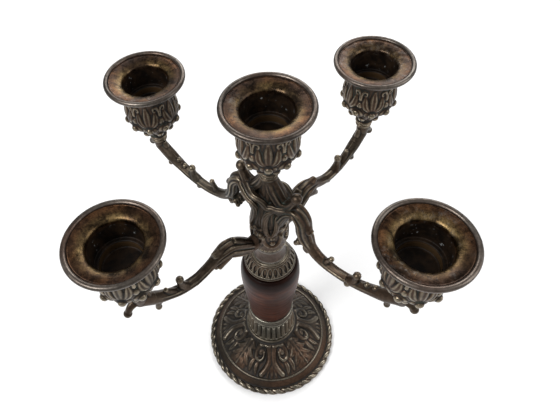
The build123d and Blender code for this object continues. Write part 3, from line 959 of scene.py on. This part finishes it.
class Arm:
    """One arm of a casting. Points are (distance out, height) in its upright plane."""

    def __init__(self, casting, place):
        self.casting, self.place = casting, place
        self.azimuth = azimuth_of(place)
        self.across = (-math.sin(self.azimuth), math.cos(self.azimuth), 0.0)

    def placed(self, points, lateral=0.0):
        """The points in 3-D, shifted sideways by lateral."""
        points = np.asarray(points, float)
        shift = np.broadcast_to(lateral, len(points))
        c, s = math.cos(self.azimuth), math.sin(self.azimuth)
        return np.c_[points[:, 0] * c - shift * s, points[:, 0] * s + shift * c, points[:, 1]]

    def limb(self, points, radii, section=None, around=28, flat=1.0, lateral=0.0):
        line = curve(points, 0.5)
        self.casting.rod(self.placed(line, lateral), spread(radii, len(line)), self.across, section,
                         around, flat)

    def rib(self, points, radii, start, end, angle, size, sink=0.25, flat=1.0):
        """Tapered rib laid along the arm's surface between two fractions of its length."""
        line = curve(points, 0.5)
        reach = spread(radii, len(line))
        ahead = np.gradient(line, axis=0)
        ahead /= np.linalg.norm(ahead, axis=1)[:, None]
        over = np.c_[-ahead[:, 1], ahead[:, 0]]
        first = int(start * len(line))
        part = slice(first, max(int(end * len(line)), first + 4))
        turn = math.radians(angle)
        rise = (reach - sink)[:, None] * math.sin(turn) * over
        lateral = flat * (reach - sink) * math.cos(turn)
        run = self.placed((line + rise)[part], lateral[part])
        along = np.linspace(0, 1, len(run))
        radius = size * (0.35 + 0.65 * np.sin(math.pi * along ** 0.8))
        self.casting.rod(run, radius, self.across, around=12)

    def knobs(self, *places, lateral=0.0):
        """Balls, each (distance out, height, radius)."""
        for reach, height, radius in places:
            self.casting.ball(self.placed([(reach, height)], lateral)[0], radius)

    def tips(self, *lines):
        """Pointed leaf tips that stand a little off the arm."""
        for points in lines:
            self.limb(points, [2.6, 2.3, 1.4], flat=1.2)

    def twig(self, points, radius):
        """Short curved twig, broad where it grows from the arm, with a rounded end."""
        self.limb(points, [1.45 * radius, 1.1 * radius, 0.85 * radius, 0.8 * radius])
        self.knobs((*points[-1], radius))

    def winding(self, points, radii):
        """Broad lined band round the post. points are (degrees from the arm, distance, height)."""
        points = np.asarray(points, float)
        turn = self.azimuth + np.radians(points[:, 0])
        x, y = points[:, 1] * np.cos(turn), points[:, 1] * np.sin(turn)
        line = curve(np.c_[x, y, points[:, 2]], 0.5)
        outward = line * (1, 1, 0)
        outward /= np.linalg.norm(outward, axis=1)[:, None]
        self.casting.rod(line, spread(radii, len(line)), outward - (0, 0, 1), fluted(9, 0.07), 54,
                         0.75)

    def cup_seat(self, base_z):
        """Upright socket under a cup, with a low ring at its top and a stud's hole."""
        x, y, lip_z = place_of(self.place)
        top = lip_z - CUP_HEIGHT
        profile = joined(
            straight([(STUD_HOLE, top - 5), (STUD_HOLE, base_z)], 1.0),
            curve([(3.1, base_z), (3.5, (base_z + top) / 2), (3.3, top - 2.2)], 0.4),
            arc((3.5, top - 1.1), 1.05, -80, 70, 0.25),
            straight([(3.6, top), (STUD_HOLE, top)], 0.5),
        )
        verts, faces = lathe(profile, 48, closed=True)
        self.casting.add(verts + np.array([x, y, 0]), faces)


def fluted(count, depth):
    """Section with long grooves that fade towards both ends of a limb."""
    def section(angle, along):
        return 1 + depth * np.cos(count * angle) * window(along, 0.0, 1.0, 0.12)
    return section


def lower_arm(arm):
    arm.limb(LOWER_ARM, LOWER_RADII, around=32)
    sheath = [(12.5, 145.8), (15.5, 147.0), (20.6, 151.6), (27, 156.6), (32, 156.6), (36.5, 154.8),
              (39.5, 153.2)]
    sheath_radii = [3.9, 4.4, 4.7, 4.7, 4.3, 3.4, 2.3]
    arm.limb(sheath, sheath_radii, fluted(9, 0.09), 54, 1.05)
    for number, angle in enumerate((90, 50, 130, 12, 168, -32, 212)):
        end = 1.0 - 0.05 * ((number + 1) // 2)
        arm.rib(sheath, sheath_radii, 0.08, end, angle, 1.0, 0.15)
    arm.tips([(30.0, 158.0), (34.4, 158.8), (37.4, 159.6)],
             [(31.0, 153.2), (35.0, 150.4), (37.4, 147.6)],
             [(19.0, 154.5), (22.0, 158.6), (24.2, 161.4)],
             [(19.5, 148.4), (23.6, 149.6), (27.4, 150.2)])
    for lateral in (-2.4, 2.4):
        arm.limb([(28.5, 155.5), (33.0, 152.8), (36.2, 149.6)], [2.4, 2.2, 1.5], lateral=lateral)
    arm.rib(LOWER_ARM, LOWER_RADII, 0.50, 0.98, 90, 0.8, 0.35)
    for angle in (35, 145, 0):
        arm.rib(LOWER_ARM, LOWER_RADII, 0.44, 0.94, angle, 0.75, 0.25)
    arm.twig([(55.6, 149.4), (57.4, 153.5), (57.7, 157.6), (57.6, 159.1)], 2.15)
    arm.twig([(69.0, 155.6), (71.2, 152), (72, 149.6), (72, 148.2)], 1.75)
    arm.limb([(62.5, 152.4), (65.4, 156.6), (66.0, 159.4)], [2.2, 1.8, 1.1])
    arm.knobs((49.6, 146.9, 2.1), (46.4, 148.0, 1.7), (62.0, 149.0, 1.5))
    arm.limb([(73.4, 160.4), (79.6, 165.6), (83.8, 165.2), (86.3, 161.7)], [3.2, 2.7, 2.1, 1.7],
             fluted(4, 0.08))
    arm.knobs((86.7, 160.7, 2.15))
    arm.limb([(75.4, 162), (74.6, 166), (75.6, 169.6)], [2.0, 1.6, 1.0])
    arm.cup_seat(163.5)


def upper_arm(arm):
    arm.limb(UPPER_ARM, UPPER_RADII, around=32)
    strap = UPPER_ARM[:6] + [(25.4, 163.2), (29.2, 157.6)]
    strap_radii = [3.2, 3.3, 3.1, 3.0, 3.2, 3.4, 3.0, 1.9]
    arm.limb(strap, strap_radii, fluted(8, 0.10), 56, 1.4)
    for angle, size in ((90, 1.0), (38, 0.95), (142, 0.95), (-32, 0.9), (212, 0.9)):
        arm.rib(strap, strap_radii, 0.05, 0.97, angle, size, 0.3, 1.4)
    arm.rib(UPPER_ARM, UPPER_RADII, 0.55, 0.98, 90, 0.8, 0.35)
    for angle in (150, 30, 0):
        arm.rib(UPPER_ARM, UPPER_RADII, 0.52, 0.92, angle, 0.75, 0.25)
    for side in (-2.2, 0.0, 2.2):
        arm.knobs((23.6, 163.4, 1.7), (21.4, 160.0, 1.8), (19.9, 157.6, 1.5), lateral=side)
    arm.tips([(25.5, 163.5), (22.6, 159.8), (20.0, 156.0)],
             [(27.0, 160.2), (25.4, 156.0), (26.4, 153.0)],
             [(22.6, 176), (25.6, 172.0), (27.6, 171.0)])
    arm.twig([(36.8, 152.6), (38.4, 156.4), (39.8, 159.4), (40.4, 160.4)], 1.5)
    arm.twig([(53.0, 153.2), (55.2, 156.6), (55.5, 160.2), (55.5, 161.2)], 2.15)
    arm.twig([(70.2, 161.0), (72.6, 157.8), (73.5, 155.4), (73.5, 154.3)], 1.7)
    arm.knobs((51.4, 148.4, 1.9), (48.4, 149.9, 1.5), (61.5, 159.4, 1.5), (66.0, 161.4, 1.7))
    arm.limb([(73.6, 163.2), (79.6, 168.4), (83.6, 168.2), (85.4, 166.5)], [3.3, 2.8, 2.3, 2.0],
             fluted(4, 0.08))
    arm.knobs((85.7, 165.8, 2.2))
    arm.limb([(75.4, 164.6), (74.6, 168), (75.6, 171)], [2.0, 1.6, 1.0])
    arm.cup_seat(165.5)
    bracket = [(1.5, 195), (4.2, 188.5), (9, 182.2), (13.4, 183.2), (16.9, 189.4)]
    bracket_radii = [3.0, 3.6, 3.4, 2.7, 2.1]
    arm.limb(bracket, bracket_radii, fluted(7, 0.08), 42, 1.15)
    for angle in (90, 35, 145, -20, 200):
        arm.rib(bracket, bracket_radii, 0.05, 0.92, angle, 0.8, 0.3, 1.2)
    arm.knobs((17.2, 191.3, 2.85))
    arm.limb([(5, 178), (9.5, 175.5), (13.5, 178.5)], [3.6, 3.4, 2.8], flat=1.3)
    arm.limb([(15.5, 177.5), (11.5, 173.8), (8, 170.5)], [2.6, 2.6, 2.6])
    scrollwork(arm)


def scrollwork(arm):
    """Flowing bands from one arm's shoulder round the post, which end in a volute and two balls."""
    arm.winding([(0, 14, 180), (-14, 10.2, 179.4), (-32, 7.2, 178.8), (-62, 6.2, 178.6),
                 (-92, 5.8, 181.6), (-130, 8.0, 182.6), (-172, 13, 182)],
                [3.2, 3.0, 2.9, 2.7, 2.8, 3.0, 3.0])
    arm.winding([(0, 13.2, 177.4), (-14, 10.2, 177.2), (-32, 8.0, 177), (-50, 7.8, 175.6),
                 (-62, 8.5, 171.5), (-65, 9.4, 165.5), (-60, 10.1, 160.4), (-46, 10.4, 157.9),
                 (-32, 10.1, 160.6), (-24, 9.4, 166), (-19, 8.6, 171.5), (-6, 10.0, 175)],
                [3.0, 2.8, 2.5, 2.2, 2.0, 1.8, 1.7, 1.7, 1.7, 1.8, 2.0, 2.2])
    arm.winding([(0, 18, 181), (12, 14.2, 179.6), (34, 10.2, 177.6), (60, 7.6, 175.6),
                 (60, 8.6, 168), (53, 9.4, 161.5), (58, 9.8, 158.4)],
                [3.1, 3.1, 3.0, 2.9, 2.8, 2.5, 1.9])
    for turn, reach, height, radius in ((-74, 11.3, 158.0, 2.0), (66, 10.3, 158.2, 1.4)):
        angle = arm.azimuth + math.radians(turn)
        arm.casting.ball((reach * math.cos(angle), reach * math.sin(angle), height), radius)


def finished_branch(name, casting, arm_shape, places):
    """Adds the arms, fuses the casting and makes it stand for its CAD node."""
    for place in places:
        arm_shape(Arm(casting, place))
    branch = casting.fuse(name + "_casting", BRANCH_VOXEL)
    note_hollows(branch)
    return dress(branch, CAST, "tarnished_plate", name, name)


def make_lower_branch():
    casting = Casting()
    bottom, _ = stack_z("lower_branch")
    top = BRANCH_SEAM
    strokes = [
        ([(5.2, 154.6), (4.4, 149.4), (2.2, 146.2), (0, 145.2)], 1.4, 1.5, "stem"),
        ([(0, 154.6), (0, 151.6)], 1.5, 1.1, "leaf"),
        ([(0, 148.9), (0.1, 148.8)], 1.6, 1.5, "stem"),
    ]
    outer = joined(
        straight([(8.6, bottom), (9.2, bottom + 0.2)], 0.3),
        curve([(9.3, bottom + 0.6), (9.2, bottom + 2.4), (9.4, 149), (9.5, top - 1.0)], 0.3),
        straight([(9.4, top - 0.3), (9.0, top)], 0.3),
    )
    inner = straight([(ROD_HOLE, top), (ROD_HOLE, bottom)], 1.2)

    def relief(theta, radius, height):
        u = folded(theta, HUB_LEAVES, azimuth_of("front_left")) * HUB_RADIUS * np.ones_like(height)
        y = height * np.ones_like(u)
        return chased(u, y, strokes) * window(height, bottom + 0.3, top - 0.2, 0.7)

    casting.add(*lathe(joined(outer, inner), 300, outside(outer, relief), closed=True))
    return finished_branch("lower_branch", casting, lower_arm, ("front_left", "rear_right"))


def make_upper_branch():
    casting = Casting()
    bottom = BRANCH_SEAM + 0.05
    _, _, lip_z = place_of("center")
    top = lip_z - CUP_HEIGHT
    strokes = [
        ([(5.0, 155.6), (4.6, 158.4), (2.6, 159.8), (0, 158.2)], 1.1, 1.0, "stem"),
        ([(0, 163), (0, 174), (0, 188)], 1.5, 0.55, "leaf"),
        ([(3.4, 163), (2.9, 174), (1.9, 188)], 1.3, 0.5, "leaf"),
    ]
    outer = joined(
        straight([(8.6, bottom), (9.2, bottom + 0.3)], 0.3),
        curve([(9.4, 157), (9.2, 161), (8.6, 166), (6.8, 174), (5.0, 183), (3.9, 190.5),
               (3.8, top - 3.4)], 0.32),
        arc((3.7, top - 2.3), 0.9, -70, 70, 0.2),
        straight([(3.8, top - 1.2), (4.6, top - 0.5), (4.5, top), (STUD_HOLE, top),
                  (STUD_HOLE, top - 5), (0, top - 5)], 0.4),
    )
    inner = straight([(0, 168.3), (ROD_HOLE, 168.3), (ROD_HOLE, bottom), (8.6, bottom)], 0.8)
    profile = joined(inner, outer)

    def relief(theta, radius, height):
        u = folded(theta, HUB_LEAVES, azimuth_of("front_right"))[None, :] * radius
        y = height * np.ones_like(u)
        on_post = (height < top - 6) * window(height, bottom + 0.3, 190, 1.0)
        return chased(u, y, strokes) * on_post

    push = outside(outer, relief, len(profile) - len(outer))
    casting.add(*lathe(profile, 300, push))
    return finished_branch("upper_branch", casting, upper_arm, ("front_right", "rear_left"))


make_lower_branch()
make_upper_branch()


# ---- hidden fittings and felt

fittings = ["tie_rod", "rod_nut", "spreader_washer"] + ["stud_" + place for place in PLACES]
for node, material in [(name, STEEL) for name in fittings] + [("felt_disc", FELT)]:
    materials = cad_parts[node].data.materials
    materials.clear()
    materials.append(material)


# ---- floor, light and camera


AIM = (0, 0, 0.15)      # metres, as are the lights' places and sizes


def pale_floor():
    half = 4.0
    corners = [(-half, -half, 0), (half, -half, 0), (half, half, 0), (-half, half, 0)]
    mesh = bpy.data.meshes.new("floor")
    mesh.from_pydata(corners, [], [(0, 1, 2, 3)])
    floor = add_object("floor", mesh)
    paint = Paint("pale_floor")
    paint.set(Base_Color=paint.patches(3.0, 2, [(0.3, 0.80), (0.7, 0.83)]), Roughness=0.9)
    mesh.materials.append(paint.material)
    return floor


def softbox(name, place, size, power):
    """Rectangular light that faces the middle of the object."""
    lamp = bpy.data.lights.new(name, "AREA")
    lamp.shape = "RECTANGLE"
    lamp.size, lamp.size_y = size
    lamp.energy = power
    light = add_object(name, lamp)
    light.location = place
    light.rotation_euler = (Vector(AIM) - Vector(place)).to_track_quat("-Z", "Y").to_euler()
    return light


def pale_world(strength):
    """Soft room light that is brighter overhead, so that metal has something to mirror."""
    world = bpy.data.worlds.new("studio")
    bpy.context.scene.world = world
    world.use_nodes = True
    nodes = Nodes(world.node_tree, "Generated")
    split = nodes.node("SeparateXYZ")
    nodes.feed(split.inputs["Vector"], nodes.coords)
    background = nodes.node("Background")
    glow = nodes.ramp(split.outputs["Z"], [(0.0, 0.55), (0.35, 0.75), (0.85, 1.0)])
    nodes.feed(background.inputs["Color"], glow)
    nodes.feed(background.inputs["Strength"], strength)
    nodes.feed(nodes.node("OutputWorld").inputs["Surface"], background.outputs["Background"])


# Camera fitted to the five lips and the foot's edge: degrees, metres, and millimetres of lens
PITCH, YAW, ROLL = 51.745, 3.329, -3.546
CAMERA_PLACE = (0, -0.15618, 0.39077)
LENS, SHIFT_X, SHIFT_Y = 33.42, 0.0536, -0.0536


def photo_camera():
    """Camera at the object's viewing angle: looking down on it from the front."""
    pitch, yaw, roll = math.radians(PITCH), math.radians(YAW), math.radians(ROLL)
    level = Vector((-math.sin(yaw), math.cos(yaw), 0))
    ahead = math.cos(pitch) * level - Vector((0, 0, math.sin(pitch)))
    right = Vector((math.cos(yaw), math.sin(yaw), 0))
    above = right.cross(ahead)
    tilted_right = math.cos(roll) * right + math.sin(roll) * above
    tilted_above = -math.sin(roll) * right + math.cos(roll) * above
    lens = bpy.data.cameras.new("camera")
    lens.lens, lens.sensor_width = LENS, 36
    lens.shift_x, lens.shift_y = SHIFT_X, SHIFT_Y
    camera = add_object("camera", lens)
    axes = Matrix((tilted_right, tilted_above, -ahead)).transposed().to_4x4()
    camera.matrix_world = Matrix.Translation(CAMERA_PLACE) @ axes
    bpy.context.scene.camera = camera


floor = pale_floor()
key = softbox("key", (-0.55, -0.45, 0.85), (0.45, 0.45), 8)
fill = softbox("fill", (0.75, -0.15, 0.60), (0.4, 0.7), 3)
back = softbox("back", (0.10, 0.80, 0.70), (0.9, 0.4), 6)
pale_world(0.62)
photo_camera()
bpy.context.scene.view_settings.view_transform = "Standard"
